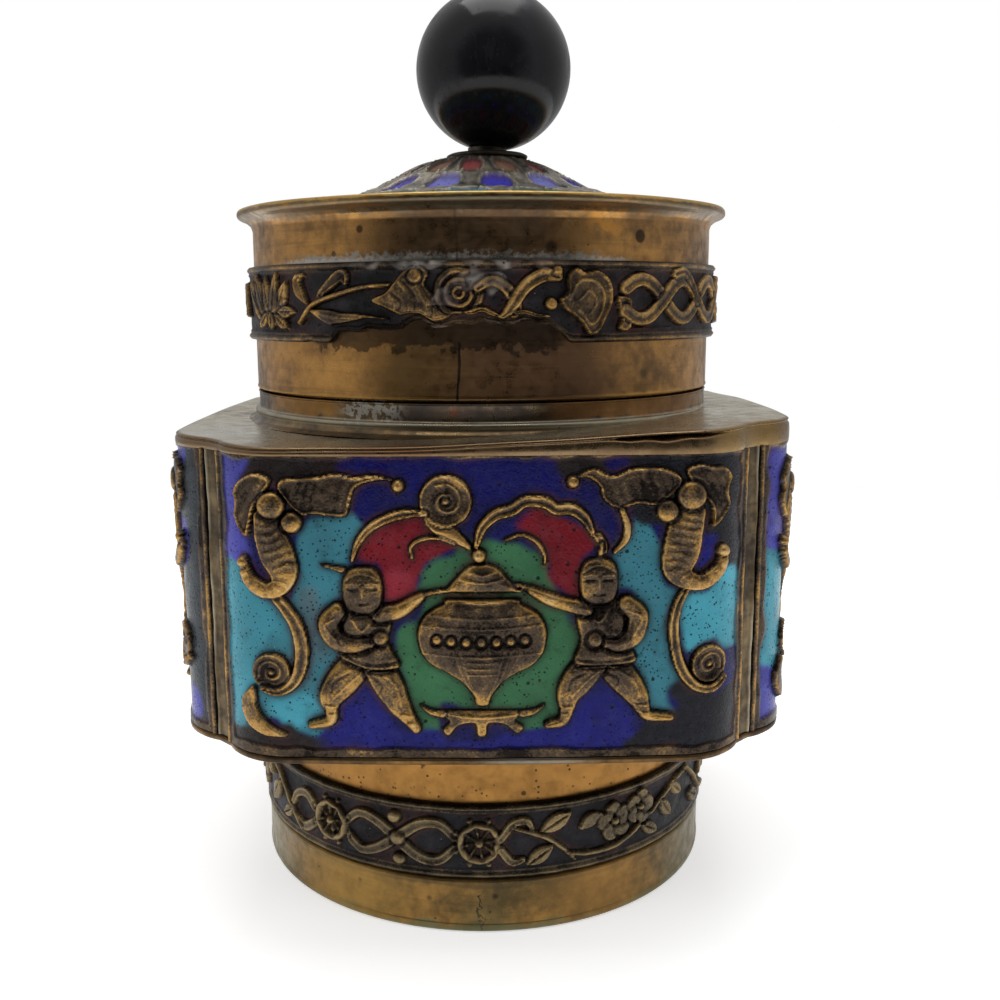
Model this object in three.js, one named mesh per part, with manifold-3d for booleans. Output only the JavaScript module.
// Enamelled brass tea box: a square body of four relief panels on a round foot, under a round lift-off lid.
// Millimetres, +Z up, the front panel faces -Y, and the origin is the centre of the foot's underside.
import * as THREE from 'three';
import { mergeVertices } from 'three/addons/utils/BufferGeometryUtils.js';
import Module from 'manifold-3d';

const wasm = await Module();
wasm.setup();

// Body: square in plan, each side slightly bowed and rounded back to a corner post
const bodyHalf = 38.0;          // centre to the middle of a side
const flatHalf = 23.0;          // where the side starts to round back
const sideBow = 0.6;            // how far the side falls back at that place
const shoulderRadius = 8.5;     // the rounding beside each corner post
const bodyHeight = 37.1;        // underside of the base plate to the top of the top plate
const plateThickness = 0.9;     // base plate and top plate
const plateOverhang = 0.15;     // how far the plates stand out past the panels
const panelSheet = 0.8;         // brass behind the relief
const panelRelief = 0.95;       // height of the figures over the enamel ground
const panelSideBorder = 4.28;   // from the panel's ends to the figures
const panelLowBorder = 2.6;     // from the panel's lower edge to the figures' feet
const panelTopBorder = 0.9;     // from the panel's upper edge down to the figures
const postHalfWidth = 1.4;
const postDepth = 1.9;
const postProud = 0.25;         // how far a post stands out past the panels' ends

// Foot
const drumRadius = 31.3;
const bandProud = 0.7;          // how far the bare band stands out past the drum
const footHeight = 25.0;
const footWall = 0.9;
const footRim = 2.4;            // width of the underside's flat ring
const plainBandHeight = 7.4;    // bare band under the relief strip

// Relief strips on the foot and on the lid
const footStripHeight = 9.5;
const lidStripHeight = 9.3;
const lidStripLift = 6.6;       // lower edge of the lid's strip over the lid's edge
const stripSheet = 0.45;
const stripRelief = 0.6;
const stripEdge = 0.7;          // width of the strip's raised border
const stripMargin = 0.85;       // from the strip's edges to its raised work
const stripSeam = 0.5;          // open butt joint in each strip
const tearDepth = 1.5;          // metal lost from the lower edge of the lid's strip

// Neck, lid, dome and knob
const lidRadius = 31.3;
const neckSetback = 0.1;        // how far the neck stays inside the lid's outer face
const neckHeight = 4.0;
const neckWall = 0.9;
const coveReach = 2.3;          // how far the neck's cove runs out over the top plate
const sleeveRise = 3.8;         // inner sleeve that locates the lid
const lidHeight = 21.9;         // lid's edge to the underside of its moulding
const lidWall = 0.7;
const rimReach = 2.0;           // how far the moulding flares out
const rimHeight = 1.4;
const domeSetback = 1.7;        // from the lid's outer face in to the dome's edge
const domeSeat = 2.0;           // width of the shelf that the dome's edge sits on
const domeHeight = 8.2;
const domeWall = 0.8;
const domeTopRadius = 5.0;
const stemRadius = 2.9;
const stemHeight = 0.9;
const ballRadius = 10.45;
const ballOffset = 1.4;         // the ball sits a little to the right of the axis

// Clearances
const solderGap = 0.15;         // between a strip or panel and the piece that carries it
const seatGap = 0.1;            // between pieces stacked on each other
const lidSeatGap = 0.3;         // the dark line under the lid
const roundSides = 24;

// Radii and heights over the ground that follow from the sizes above
const footRadius = drumRadius + bandProud;
const neckRadius = lidRadius - neckSetback;
const domeRadius = lidRadius - domeSetback;
const bodyTop = footHeight + bodyHeight;
const panelBottom = footHeight + plateThickness + seatGap;
const panelHeight = bodyHeight - 2 * (plateThickness + seatGap);
const neckBase = bodyTop + seatGap;
const neckTop = neckBase + neckHeight;
const lidBase = neckTop + lidSeatGap;
const rimBase = lidBase + lidHeight;
const rimTop = rimBase + rimHeight;
const shelfTop = rimBase + 0.4 * rimHeight;
const domeBase = shelfTop + seatGap;
const domeTop = domeBase + domeHeight;
const stemTop = domeTop + seatGap + stemHeight;
const sleeveRadius = lidRadius - lidWall - lidSeatGap;

// Plan of one side: arc length from the middle of the side gives a point and the outward direction
const bowRadius = (flatHalf ** 2 + sideBow ** 2) / (2 * sideBow);
const bowAngle = Math.asin(flatHalf / bowRadius);
const flatLength = bowRadius * bowAngle;
const shoulderX = flatHalf - shoulderRadius * Math.sin(bowAngle);
const shoulderY = bodyHalf - sideBow - shoulderRadius * Math.cos(bowAngle);
const shoulderSkew = (shoulderY - shoulderX) / Math.SQRT2;

function sidePoint(along, outward) {
  const side = Math.sign(along);
  const length = Math.abs(along);
  if (length <= flatLength) {
    const angle = length / bowRadius;
    const reach = bowRadius + outward;
    return [side * reach * Math.sin(angle), bodyHalf - bowRadius + reach * Math.cos(angle)];
  }
  const angle = bowAngle + (length - flatLength) / shoulderRadius;
  const reach = shoulderRadius + outward;
  return [side * (shoulderX + reach * Math.sin(angle)), shoulderY + reach * Math.cos(angle)];
}

// Arc length at which a side is the given distance from the corner's diagonal
function sideLengthTo(fromDiagonal) {
  const angle = Math.PI / 4 + Math.asin((shoulderSkew - fromDiagonal) / shoulderRadius);
  return flatLength + shoulderRadius * (angle - bowAngle);
}

const panelHalf = sideLengthTo(postHalfWidth + solderGap);
const shoulderSteps = 3;
const shoulderStep = (panelHalf - flatLength) / shoulderSteps;
const rightBends = [flatLength / 3];
for (let step = 0; step < shoulderSteps; step += 1) {
  rightBends.push(flatLength + step * shoulderStep);
}
const bendLines = [...rightBends.map((line) => -line).reverse(), ...rightBends];

// Geometry to solid and back; the boolean tool wants shared corners and nothing but positions
function toSolid(geometry) {
  const bare = geometry.clone();
  bare.deleteAttribute('normal');
  bare.deleteAttribute('uv');
  const merged = mergeVertices(bare, 1e-4);
  return new wasm.Manifold(new wasm.Mesh({
    numProp: 3,
    vertProperties: new Float32Array(merged.attributes.position.array),
    triVerts: new Uint32Array(merged.index.array),
  }));
}

function toTriangles(solid) {
  const mesh = solid.getMesh();
  const points = [];
  for (let i = 0; i < mesh.vertProperties.length; i += mesh.numProp) {
    points.push([mesh.vertProperties[i], mesh.vertProperties[i + 1], mesh.vertProperties[i + 2]]);
  }
  const faces = [];
  for (let i = 0; i < mesh.triVerts.length; i += 3) {
    faces.push([mesh.triVerts[i], mesh.triVerts[i + 1], mesh.triVerts[i + 2]]);
  }
  return { points, faces };
}

// Cuts every triangle that crosses the line x = at, so that a flat sheet can bend there
function creaseAt({ points, faces }, at) {
  const near = 1e-5;
  const cutPoints = points.slice();
  const made = new Map();
  const sideOf = (i) => (Math.abs(points[i][0] - at) < near ? 0 : Math.sign(points[i][0] - at));
  function between(a, b) {
    const [low, high] = a < b ? [a, b] : [b, a];
    const key = `${low},${high}`;
    if (!made.has(key)) {
      const share = (at - points[low][0]) / (points[high][0] - points[low][0]);
      made.set(key, cutPoints.length);
      const mixed = points[low].map((value, k) => value + share * (points[high][k] - value));
      cutPoints.push([at, ...mixed.slice(1)]);
    }
    return made.get(key);
  }
  const cutFaces = [];
  for (const face of faces) {
    const sides = face.map(sideOf);
    if (!(sides.includes(1) && sides.includes(-1))) {
      cutFaces.push(face);
    } else if (sides.includes(0)) {
      const turn = sides.indexOf(0);
      const [a, b, c] = [face[turn], face[(turn + 1) % 3], face[(turn + 2) % 3]];
      const middle = between(b, c);
      cutFaces.push([a, b, middle], [a, middle, c]);
    } else {
      const lone = sides.findIndex((side) => sides.filter((other) => other === side).length === 1);
      const [a, b, c] = [face[lone], face[(lone + 1) % 3], face[(lone + 2) % 3]];
      const first = between(a, b);
      const second = between(a, c);
      cutFaces.push([a, first, second], [first, b, c], [first, c, second]);
    }
  }
  return { points: cutPoints, faces: cutFaces };
}

function toGeometry({ points, faces }) {
  const geometry = new THREE.BufferGeometry();
  geometry.setAttribute('position', new THREE.Float32BufferAttribute(points.flat(), 3));
  geometry.setIndex(faces.flat());
  const merged = mergeVertices(geometry, 1e-4);
  merged.computeVertexNormals();
  return merged;
}

// Flat relief work: x runs along the sheet, y up, z out of its face
function extrudeFlat(outline, low, high) {
  const geometry = new THREE.ExtrudeGeometry(outline, { depth: high - low, bevelEnabled: false });
  geometry.translate(0, 0, low);
  return toSolid(geometry);
}

// A bar with the given outline in [up, out]; it can bend at its stations along x, which include its ends
function profileBar(stations, outline) {
  const shape = new THREE.Shape(outline.map(([up, out]) => new THREE.Vector2(up, out)));
  const spans = stations.length - 1;
  const bar = new THREE.ExtrudeGeometry(shape, { depth: spans, steps: spans, bevelEnabled: false });
  const place = bar.attributes.position;
  for (let i = 0; i < place.count; i += 1) {
    place.setXYZ(i, stations[Math.round(place.getZ(i))], place.getX(i), place.getY(i));
  }
  return toSolid(bar);
}

function smoothLine(stops, closed) {
  return new THREE.CatmullRomCurve3(stops.map(([x, y]) => new THREE.Vector3(x, y, 0)), closed, 'centripetal');
}

// A tapering limb along a smooth line: each stop is [along, up, width]
function limb(stops, steps = stops.length * 2 - 1) {
  const line = smoothLine(stops, false);
  const left = [];
  const right = [];
  for (let step = 0; step <= steps; step += 1) {
    const share = step / steps;
    const centre = line.getPoint(share);
    const heading = line.getTangent(share);
    const place = share * (stops.length - 1);
    const before = Math.min(Math.floor(place), stops.length - 2);
    const width = stops[before][2] + (place - before) * (stops[before + 1][2] - stops[before][2]);
    const [acrossX, acrossY] = [-heading.y * width / 2, heading.x * width / 2];
    left.push(new THREE.Vector2(centre.x + acrossX, centre.y + acrossY));
    right.unshift(new THREE.Vector2(centre.x - acrossX, centre.y - acrossY));
  }
  return new THREE.Shape([...left, ...right]);
}

// A closed outline, smooth through its corners
function leaf(corners, steps = corners.length * 2) {
  const line = smoothLine(corners, true);
  const points = [];
  for (let step = 0; step < steps; step += 1) {
    const point = line.getPoint(step / steps);
    points.push(new THREE.Vector2(point.x, point.y));
  }
  return new THREE.Shape(points);
}

function disc(x, y, radius, tall = radius, sides = 8) {
  const points = [];
  for (let side = 0; side < sides; side += 1) {
    const angle = (side + 0.5) * 2 * Math.PI / sides;
    points.push(new THREE.Vector2(x + radius * Math.cos(angle), y + tall * Math.sin(angle)));
  }
  return new THREE.Shape(points);
}

// Stops of a curl that winds in from a start angle, in degrees
function curlStops(x, y, radius, startDegrees, turnDegrees, width, count) {
  const stops = [];
  for (let step = 0; step < count; step += 1) {
    const share = step / (count - 1);
    const angle = (startDegrees + share * turnDegrees) * Math.PI / 180;
    const reach = radius * (1 - 0.72 * share);
    stops.push([x + reach * Math.cos(angle), y + reach * Math.sin(angle), width]);
  }
  return stops;
}

function mirrored(stops, side, lift = 0) {
  return stops.map(([x, y, ...rest]) => [side * x, y + lift, ...rest]);
}

// One bat, drawn for the left side: wings, two round head bosses, a tapering body and a curling tail
function batShapes(side, lift) {
  const at = (stops) => mirrored(stops, side, lift);
  const longWing = [[-22.2, 33.4], [-16.2, 34.3], [-13.0, 33.8], [-9.6, 33.2], [-14.0, 32.5], [-15.0, 29.7],
    [-18.4, 29.4], [-21.4, 31.0]];
  const shortWing = [[-23.6, 33.2], [-25.4, 34.4], [-27.7, 32.8], [-27.9, 29.6], [-26.7, 27.0],
    [-25.5, 30.0]];
  const body = [[-24.1, 29.0, 3.0], [-23.4, 26.0, 3.9], [-22.7, 23.4, 3.4], [-23.5, 21.2, 2.0],
    [-26.0, 21.6, 1.4], [-27.2, 23.8, 1.3]];
  const tail = [[-22.9, 20.4, 1.0], [-21.2, 17.6, 1.1], [-20.5, 14.4, 1.1], [-21.1, 11.0, 1.1]];
  const curl = curlStops(-23.8, 11.2, 2.7, -10, -330, 1.0, 6);
  const lowLeaf = [[-26.6, 8.6, 0.9], [-27.3, 6.2, 1.4], [-24.4, 4.0, 0.9]];
  return [
    leaf(at(longWing), 10),
    leaf(at(shortWing), 6),
    disc(side * -23.5, 30.6 + lift, 1.6, 1.6, 6),
    disc(side * -21.2, 28.8 + lift, 1.25, 1.25, 5),
    limb(at(body), 5),
    limb(at([...tail, ...curl]), 10),
    limb(mirrored(lowLeaf, side), 2),
  ];
}

// One attendant, drawn for the left side: one arm bent to the waist, one reaching to the urn's lid
function attendantShapes(side, lift, reach) {
  const at = (stops) => mirrored(stops, side, lift);
  const jacket = [[-16.2, 18.7], [-13.4, 18.2], [-11.2, 18.3], [-9.3, 11.9], [-12.9, 12.3], [-16.4, 13.2],
    [-15.4, 16.0]];
  const bentArm = [[-16.0, 18.2, 1.7], [-17.6, 16.6, 2.0], [-12.2, 15.2, 1.7]];
  const raisedArm = [[-11.6, 17.9, 1.9], [-9.0, 18.7, 1.7], [-reach, 19.9, 1.3]];
  const outerLeg = [[-14.6, 13.0, 2.8], [-17.0, 8.0, 2.2], [-16.9, 5.4, 1.5], [-19.8, 4.9, 1.0]];
  const innerLeg = [[-11.6, 12.6, 2.8], [-9.7, 8.0, 2.1], [-9.1, 5.4, 1.5], [-6.4, 4.7, 1.0]];
  return [
    disc(side * -13.4, 20.9 + lift, 2.25, 2.8, 7),
    leaf(at(jacket), 7),
    limb(at(bentArm), 3),
    limb(at(raisedArm), 2),
    limb(at(outerLeg), 3),
    limb(at(innerLeg), 3),
  ];
}

// The covered urn on its low stand, from pairs of height and half width
function urnShapes() {
  const profile = [[10.3, 2.7], [12.3, 5.8], [14.6, 7.2], [17.2, 7.2], [19.7, 3.7], [20.8, 4.4], [22.4, 2.8],
    [24.4, 0.8]];
  const right = profile.map(([up, half]) => new THREE.Vector2(half - 0.1, up));
  const left = profile.map(([up, half]) => new THREE.Vector2(-half - 0.1, up)).reverse();
  const stand = [[-3.6, 3.8], [-1.6, 4.9], [0.6, 3.6], [2.6, 4.9], [4.2, 3.8], [5.1, 6.7], [-4.9, 6.7]];
  return [
    new THREE.Shape([new THREE.Vector2(-0.1, 7.2), ...right, ...left]),
    new THREE.Shape(stand.map(([x, y]) => new THREE.Vector2(x, y))),
  ];
}

// Curled cloud at the top centre and the two arching bands over the attendants' heads
function cloudShapes() {
  const tail = [[-6.6, 29.9, 0.9], [-5.0, 28.0, 1.0], [-2.6, 26.8, 0.9]];
  const leftArch = [[-14.5, 24.8, 0.9], [-13.3, 27.1, 1.0], [-10.6, 29.2, 1.1], [-7.6, 29.5, 0.9]];
  const rightArch = [[-0.2, 26.5, 1.0], [0.3, 28.6, 1.1], [5.2, 30.8, 1.3], [10.2, 30.1, 1.1],
    [12.3, 27.4, 1.0]];
  return [
    limb(curlStops(-3.9, 31.3, 3.0, 200, -400, 1.0, 6), 8),
    limb(tail, 2),
    limb(leftArch, 3),
    limb(rightArch, 5),
  ];
}

// Bends a flat solid onto straight facets between stations: it is creased at each station that it crosses,
// then each corner goes to its place; plan(along, out) gives the plan point, with +Y away from the object
function bend(solid, stations, plan, base) {
  let flat = toTriangles(solid);
  for (const station of stations.slice(1, -1)) {
    flat = creaseAt(flat, station);
  }
  const points = flat.points.map(([along, up, out]) => {
    const reached = stations.findIndex((station) => along <= station);
    const next = reached < 0 ? stations.length - 1 : Math.max(1, reached);
    const share = (along - stations[next - 1]) / (stations[next] - stations[next - 1]);
    const [startX, startY] = plan(stations[next - 1], out);
    const [endX, endY] = plan(stations[next], out);
    return [startX + share * (endX - startX), -startY - share * (endY - startY), base + up];
  });
  return toGeometry({ points, faces: flat.faces });
}

// All raised shapes of one relief as one flat solid, sunk a little so that it joins the sheet behind it
function raisedWork(shapes, sunk, relief) {
  const solids = shapes.map((shape) => extrudeFlat(shape, -sunk, relief));
  return solids.reduce((joined, solid) => joined.add(solid));
}

// Stretches a flat relief so that its outline fills a field, whatever size it was drawn at
function stretched(relief, field) {
  const { min, max } = relief.boundingBox();
  const wide = (field.right - field.left) / (max[0] - min[0]);
  const tall = (field.top - field.bottom) / (max[1] - min[1]);
  const atCorner = relief.translate([-min[0], -min[1], 0]).scale([wide, tall, 1]);
  return atCorner.translate([field.left, field.bottom, 0]);
}

// The front panel carries the clouds too; the other three are plainer
function panelGeometry(extraShapes) {
  const top = panelBottom + panelHeight - footHeight;
  const bottom = panelBottom - footHeight;
  const stations = [-panelHalf, ...bendLines, panelHalf];
  const sheet = profileBar(stations, [[bottom, -panelSheet], [top, -panelSheet], [top, 0], [bottom, 0]]);
  const shapes = [
    ...batShapes(1, 0),
    ...batShapes(-1, 0.8),
    ...attendantShapes(1, 0, 5.4),
    ...attendantShapes(-1, 0.6, 3.6),
    ...urnShapes(),
    ...extraShapes,
  ];
  const field = {
    left: panelSideBorder - panelHalf,
    right: panelHalf - panelSideBorder,
    bottom: bottom + panelLowBorder,
    top: top - panelTopBorder,
  };
  const relief = stretched(raisedWork(shapes, panelSheet / 2, panelRelief), field);
  return bend(sheet.add(relief), stations, sidePoint, footHeight);
}

// Points round a plate: each side's curve, then straight across the corner to the next side
function plateOutline() {
  const half = sideLengthTo(postHalfWidth);
  const stations = [-half, ...bendLines, half];
  const points = [];
  for (let side = 0; side < 4; side += 1) {
    const turn = side * Math.PI / 2;
    for (const along of stations) {
      const [x, y] = sidePoint(along, plateOverhang);
      points.push(new THREE.Vector2(x, -y).rotateAround(new THREE.Vector2(0, 0), turn));
    }
  }
  return new THREE.Shape(points);
}

function plateGeometry(bottom, holeRadius) {
  const outline = plateOutline();
  if (holeRadius > 0) {
    const hole = [];
    for (let side = 0; side < roundSides; side += 1) {
      const angle = side * 2 * Math.PI / roundSides;
      hole.push(new THREE.Vector2(holeRadius * Math.sin(angle), holeRadius * Math.cos(angle)));
    }
    outline.holes.push(new THREE.Path(hole));
  }
  const plate = new THREE.ExtrudeGeometry(outline, { depth: plateThickness, bevelEnabled: false });
  plate.translate(0, 0, bottom);
  return plate;
}

// A corner post fills the gap between two panels; its plan is drawn across and along the corner's diagonal
function postGeometry() {
  const [endX, endY] = sidePoint(sideLengthTo(postHalfWidth), 0);
  const face = (endX + endY) / Math.SQRT2 + postProud;
  const chamfer = 0.3;
  const plan = new THREE.Shape([
    new THREE.Vector2(face - postDepth, -postHalfWidth),
    new THREE.Vector2(face - chamfer, -postHalfWidth),
    new THREE.Vector2(face, -postHalfWidth + chamfer),
    new THREE.Vector2(face, postHalfWidth - chamfer),
    new THREE.Vector2(face - chamfer, postHalfWidth),
    new THREE.Vector2(face - postDepth, postHalfWidth),
  ]);
  const post = new THREE.ExtrudeGeometry(plan, { depth: panelHeight, bevelEnabled: false });
  post.translate(0, 0, panelBottom);
  return post;
}

// Turned pieces: the profile is [radius, height], up the outside and back down the inside
function turned(profile, sides = roundSides) {
  const lathe = new THREE.LatheGeometry(profile.map(([radius, up]) => new THREE.Vector2(radius, up)), sides);
  lathe.rotateX(Math.PI / 2);
  return lathe;
}

function ring(profile) {
  return turned([...profile, profile[0]]);
}

function footDrumGeometry() {
  const ease = 0.5;
  const inner = drumRadius - footWall;
  const top = footHeight - seatGap;
  return ring([
    [footRadius - footRim, 0],
    [footRadius - ease, 0],
    [footRadius, ease],
    [footRadius, plainBandHeight - ease],
    [drumRadius, plainBandHeight],
    [drumRadius, top],
    [inner, top],
    [inner, footWall],
    [footRadius - footRim, footWall],
  ]);
}

// The neck stands on the top plate: a cove, a bead, the seat for the lid and the sleeve inside it
function neckGeometry() {
  const inner = sleeveRadius - neckWall;
  const bead = 0.35;
  return ring([
    [neckRadius + coveReach, neckBase],
    [neckRadius + 0.45 * coveReach, neckBase + 0.3],
    [neckRadius + bead, neckBase + 0.9],
    [neckRadius + bead, neckBase + 1.7],
    [neckRadius, neckBase + 2.1],
    [neckRadius, neckTop],
    [sleeveRadius, neckTop],
    [sleeveRadius, neckTop + sleeveRise],
    [inner, neckTop + sleeveRise],
    [inner, neckBase],
  ]);
}

function lidCapGeometry() {
  const inner = lidRadius - lidWall;
  const lip = 0.7;
  return ring([
    [lidRadius, lidBase],
    [lidRadius, rimBase - 0.5],
    [lidRadius + rimReach, rimBase + 0.3 * rimHeight],
    [lidRadius + rimReach, rimTop],
    [lidRadius + rimReach - lip, rimTop],
    [inner, shelfTop],
    [domeRadius - domeSeat, shelfTop],
    [domeRadius - domeSeat, shelfTop - lidWall],
    [inner, shelfTop - lidWall],
    [inner, lidBase],
  ]);
}

// Dome: shares of its radius and of its rise, from the edge up
function domeGeometry() {
  const slope = [[1, 0], [0.86, 0.1], [0.68, 0.27], [0.5, 0.43], [0.31, 0.8]];
  const outer = slope.map(([reach, rise]) => [domeRadius * reach, domeBase + domeHeight * rise]);
  const inner = outer.slice(1).map(([radius, up]) => [radius - domeWall, up - 0.25 * domeWall]);
  const lowest = [domeRadius - 1.2 * domeSeat, domeBase];
  const profile = [
    ...outer,
    [domeTopRadius, domeTop],
    [0, domeTop],
  ];
  const lining = [[0, domeTop - domeWall], ...inner.reverse(), lowest];
  return turned([...profile, ...lining, profile[0]]);
}

function stemGeometry() {
  const stem = turned([
    [0, domeTop + seatGap],
    [stemRadius, domeTop + seatGap],
    [stemRadius, stemTop],
    [0, stemTop - 0.5 * stemHeight],
  ], 16);
  stem.translate(ballOffset, 0, 0);
  return stem;
}

function ballGeometry() {
  const ball = new THREE.SphereGeometry(ballRadius, 24, 12);
  ball.rotateX(Math.PI / 2);
  ball.translate(ballOffset, 0, stemTop - 0.5 * stemHeight + seatGap + ballRadius);
  return ball;
}

// Relief strips: x is the length along the strip's own face and y is up; the open seam is at the back
function stripGeometry(carrierRadius, bottom, height, shapes, tear) {
  const face = carrierRadius + solderGap + stripSheet;
  const half = Math.PI * face - stripSeam / 2;
  const stations = [-half];
  for (let side = 1; side < roundSides; side += 1) {
    stations.push(face * (side * 2 * Math.PI / roundSides - Math.PI));
  }
  stations.push(half);
  const plan = (along, out) => [(face + out) * Math.sin(along / face), (face + out) * Math.cos(along / face)];
  const lowBorder = tear ? [[0, 0]] : [[stripEdge, 0], [stripEdge, stripRelief], [0, stripRelief]];
  const outline = [
    [0, -stripSheet],
    [height, -stripSheet],
    [height, stripRelief],
    [height - stripEdge, stripRelief],
    [height - stripEdge, 0],
    ...lowBorder,
  ];
  const bent = (solid) => toSolid(bend(solid, stations, plan, bottom));
  const strip = bent(profileBar(stations, outline));
  const work = raisedWork(shapes, stripSheet / 2, stripRelief);
  const { min, max } = work.boundingBox();
  const field = { left: min[0], right: max[0], bottom: stripMargin, top: height - stripMargin };
  const raised = bent(stretched(work, field));
  const whole = strip.add(raised);
  if (!tear) {
    return toGeometry(toTriangles(whole));
  }
  return toGeometry(toTriangles(whole.subtract(bent(extrudeFlat(tear, -2 * stripSheet, 2 * stripRelief)))));
}

// The strip's face length for an angle from the front, in degrees
function alongStrip(degrees, carrierRadius) {
  return (carrierRadius + solderGap + stripSheet) * degrees * Math.PI / 180;
}

// A pointed leaf between two places on a strip, given in degrees and height
function stripLeaf(at, degrees, low, lean, high, width) {
  const tip = 0.4;
  const middle = [at(degrees + lean / 2), (low + high) / 2, width];
  return limb([[at(degrees), low, tip], middle, [at(degrees + lean), high, tip]], 2);
}

// The strips' hidden half is plainer: a row of leaning leaves
function backLeaves(at) {
  const shapes = [];
  for (const degrees of [88, 118, 148]) {
    shapes.push(stripLeaf(at, degrees, 2.2, 14, 7.2, 2.4), stripLeaf(at, -degrees, 2.2, -14, 7.2, 2.4));
  }
  return shapes;
}

// A five-petalled blossom as one scalloped outline
function blossom(x, y, radius) {
  const points = [];
  for (let step = 0; step < 10; step += 1) {
    const angle = (90 + step * 36) * Math.PI / 180;
    const reach = step % 2 ? 0.6 * radius : radius;
    points.push(new THREE.Vector2(x + reach * Math.cos(angle), y + reach * Math.sin(angle)));
  }
  return new THREE.Shape(points);
}

function wheelShapes(x, y) {
  const rim = disc(x, y, 2.7, 2.7, 9);
  rim.holes.push(new THREE.Path(disc(x, y, 1.75, 1.75, 6).getPoints()));
  const bars = [45, 135].map((degrees) => {
    const reach = 2.1;
    const [dx, dy] = [reach * Math.cos(degrees * Math.PI / 180), reach * Math.sin(degrees * Math.PI / 180)];
    return limb([[x - dx, y - dy, 0.5], [x + dx, y + dy, 0.5]], 1);
  });
  return [rim, ...bars];
}

// Foot strip: two wheels tied with ribbon, a leafy branch and blossoms
function footStripShapes() {
  const at = (degrees) => alongStrip(degrees, drumRadius);
  const shapes = [...wheelShapes(at(-37.7), 4.6), ...wheelShapes(at(-1.1), 4.6)];
  const knot = -19.5;
  for (const wheelSide of [-31.5, -7.0]) {
    const middle = (wheelSide + knot) / 2;
    shapes.push(limb([[at(wheelSide), 5.2, 0.9], [at(middle), 7.1, 0.9], [at(knot), 4.6, 1.2]], 2));
    shapes.push(limb([[at(wheelSide), 4.0, 0.9], [at(middle), 2.2, 0.9], [at(knot), 4.6, 1.2]], 2));
  }
  shapes.push(disc(at(-20.5), 7.5, 0.9, 0.8, 5), disc(at(-19.0), 2.1, 0.9, 0.8, 5));
  shapes.push(limb([[at(6.5), 7.2, 0.6], [at(13), 5.6, 0.7], [at(20), 2.0, 0.7]], 2));
  shapes.push(limb([[at(20), 3.0, 0.6], [at(31), 2.6, 0.7], [at(44), 5.6, 0.8], [at(58), 8.4, 0.6]], 3));
  shapes.push(stripLeaf(at, 13, 6.2, 6, 7.7, 1.5), stripLeaf(at, 11.5, 1.2, 3, 4.2, 1.5));
  shapes.push(blossom(at(30.5), 5.6, 2.2), blossom(at(37.5), 6.0, 2.2));
  shapes.push(stripLeaf(at, 22.5, 5.3, 5, 5.6, 2.0));
  shapes.push(limb([[at(-62), 8.3, 0.6], [at(-55), 5.4, 0.8], [at(-47), 1.8, 0.7]], 2));
  shapes.push(stripLeaf(at, -60, 2.0, -4, 5.4, 1.9), stripLeaf(at, 62, 1.8, 6, 6.6, 1.9));
  return [...shapes, ...backLeaves(at)];
}

// Lid strip: lotus, leaves on a stem, a fan, ribbon bows, a pair of clappers and a woven ribbon
function lidStripShapes() {
  const at = (degrees) => alongStrip(degrees, lidRadius);
  const fan = [[at(-22.5), 5.0], [at(-17), 7.0], [at(-12.5), 7.9], [at(-9), 5.2], [at(-5.5), 2.6],
    [at(-11), 1.8]];
  const clapper = [[at(16.5), 5.2], [at(19), 8.2], [at(23), 8.5], [at(27.5), 6.8], [at(27), 2.8],
    [at(24), 1.0], [at(20), 2.6]];
  const shapes = [
    disc(at(14.2), 4.4, 0.7, 0.7, 5),
    limb([[at(-41), 3.1, 0.8], [at(-34), 5.2, 0.7], [at(-19), 6.9, 0.5]], 2),
    limb([[at(-38), 4.0, 0.4], [at(-32), 3.6, 2.2], [at(-25), 2.6, 1.1], [at(-19), 2.8, 0.4]], 3),
    leaf(fan, 6),
    limb([[at(-1), 6.0, 0.8], [at(4), 6.1, 1.0], [at(7.5), 4.4, 0.9], [at(9), 2.6, 0.8]], 3),
    limb([[at(4), 2.7, 0.9], [at(7), 4.2, 1.0], [at(11), 6.9, 1.1], [at(17), 7.2, 0.9]], 3),
    leaf(clapper, 7),
    limb([[at(29.5), 5.0, 1.0], [at(31.5), 3.2, 2.0], [at(33), 1.2, 1.6]], 2),
    stripLeaf(at, -39, 4.6, -3, 7.7, 1.4),
    stripLeaf(at, -38, 4.8, 8.5, 7.6, 1.4),
  ];
  for (const [degrees, lean] of [[-62, -5], [-56, -2], [-51, 1], [-46, 4]]) {
    shapes.push(stripLeaf(at, degrees, 1.8, lean, 7.4, 2.4));
  }
  const weave = [0, 1, 2, 3, 4, 5, 6];
  for (const phase of [0, Math.PI]) {
    const wave = (step) => 4.8 + 2.3 * Math.sin(step * Math.PI / 2 + phase + 0.5);
    const stops = weave.map((step) => [at(32 + step * 6.3), wave(step), 0.95]);
    shapes.push(limb(stops, 7));
  }
  return [...shapes, ...backLeaves(at)];
}

// The ragged bite out of the lower edge of the lid's strip, from left to right along the front
function lidStripTear() {
  const at = (degrees) => alongStrip(degrees, lidRadius);
  return new THREE.Shape([
    new THREE.Vector2(at(-34), -1),
    new THREE.Vector2(at(18), -1),
    new THREE.Vector2(at(14), tearDepth),
    new THREE.Vector2(at(4), 1.2 * tearDepth),
    new THREE.Vector2(at(-6), tearDepth),
    new THREE.Vector2(at(-16), 0.8 * tearDepth),
    new THREE.Vector2(at(-28), 0.7 * tearDepth),
  ]);
}

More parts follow.
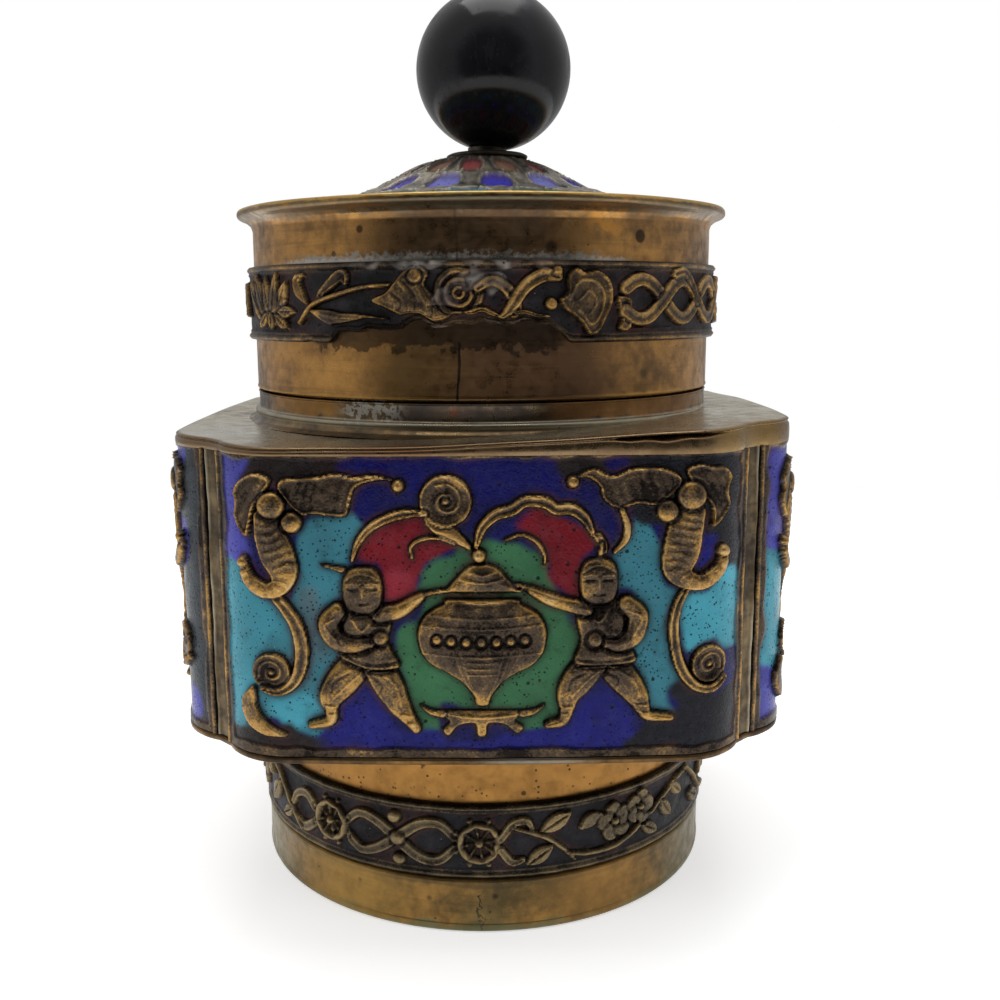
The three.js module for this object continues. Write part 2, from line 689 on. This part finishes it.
const finish = {
  darkBrass: () => new THREE.MeshStandardMaterial({ color: '#5c4c39', roughness: 0.5, metalness: 0.9 }),
  goldBrass: () => new THREE.MeshStandardMaterial({ color: '#a57636', roughness: 0.42, metalness: 0.9 }),
  greyBrass: () => new THREE.MeshStandardMaterial({ color: '#8f8672', roughness: 0.35, metalness: 0.9 }),
  enamel: () => new THREE.MeshStandardMaterial({ color: '#3a4f78', roughness: 0.3, metalness: 0.0 }),
  blackGlass: () => new THREE.MeshStandardMaterial({ color: '#141417', roughness: 0.08, metalness: 0.0 }),
};

const box = new THREE.Group();

function addPiece(name, geometry, material) {
  const mesh = new THREE.Mesh(geometry, material);
  mesh.name = name;
  box.add(mesh);
  return mesh;
}

addPiece('foot_drum', footDrumGeometry(), finish.goldBrass());
addPiece(
  'foot_relief_strip',
  stripGeometry(drumRadius, plainBandHeight + seatGap, footStripHeight, footStripShapes(), null),
  finish.darkBrass(),
);
addPiece('base_plate', plateGeometry(footHeight, 0), finish.darkBrass());

const sideNames = ['front', 'right', 'back', 'left'];
const frontPanel = panelGeometry(cloudShapes());
const plainerPanel = panelGeometry([]);
const post = postGeometry();
for (let side = 0; side < sideNames.length; side += 1) {
  const shape = side === 0 ? frontPanel : plainerPanel;
  const sidePanel = addPiece(`panel_${sideNames[side]}`, shape, finish.enamel());
  sidePanel.rotation.z = side * Math.PI / 2;
}
const cornerNames = ['front_right', 'back_right', 'back_left', 'front_left'];
for (let corner = 0; corner < cornerNames.length; corner += 1) {
  const cornerPost = addPiece(`post_${cornerNames[corner]}`, post, finish.darkBrass());
  cornerPost.rotation.z = -Math.PI / 4 + corner * Math.PI / 2;
}

addPiece('top_plate', plateGeometry(bodyTop - plateThickness, sleeveRadius - neckWall), finish.greyBrass());
addPiece('neck', neckGeometry(), finish.greyBrass());
addPiece('lid_cap', lidCapGeometry(), finish.goldBrass());
addPiece(
  'lid_relief_strip',
  stripGeometry(lidRadius, lidBase + lidStripLift, lidStripHeight, lidStripShapes(), lidStripTear()),
  finish.darkBrass(),
);
addPiece('lid_dome', domeGeometry(), finish.darkBrass());
addPiece('knob_stem', stemGeometry(), finish.darkBrass());
addPiece('knob_ball', ballGeometry(), finish.blackGlass());

export default box;
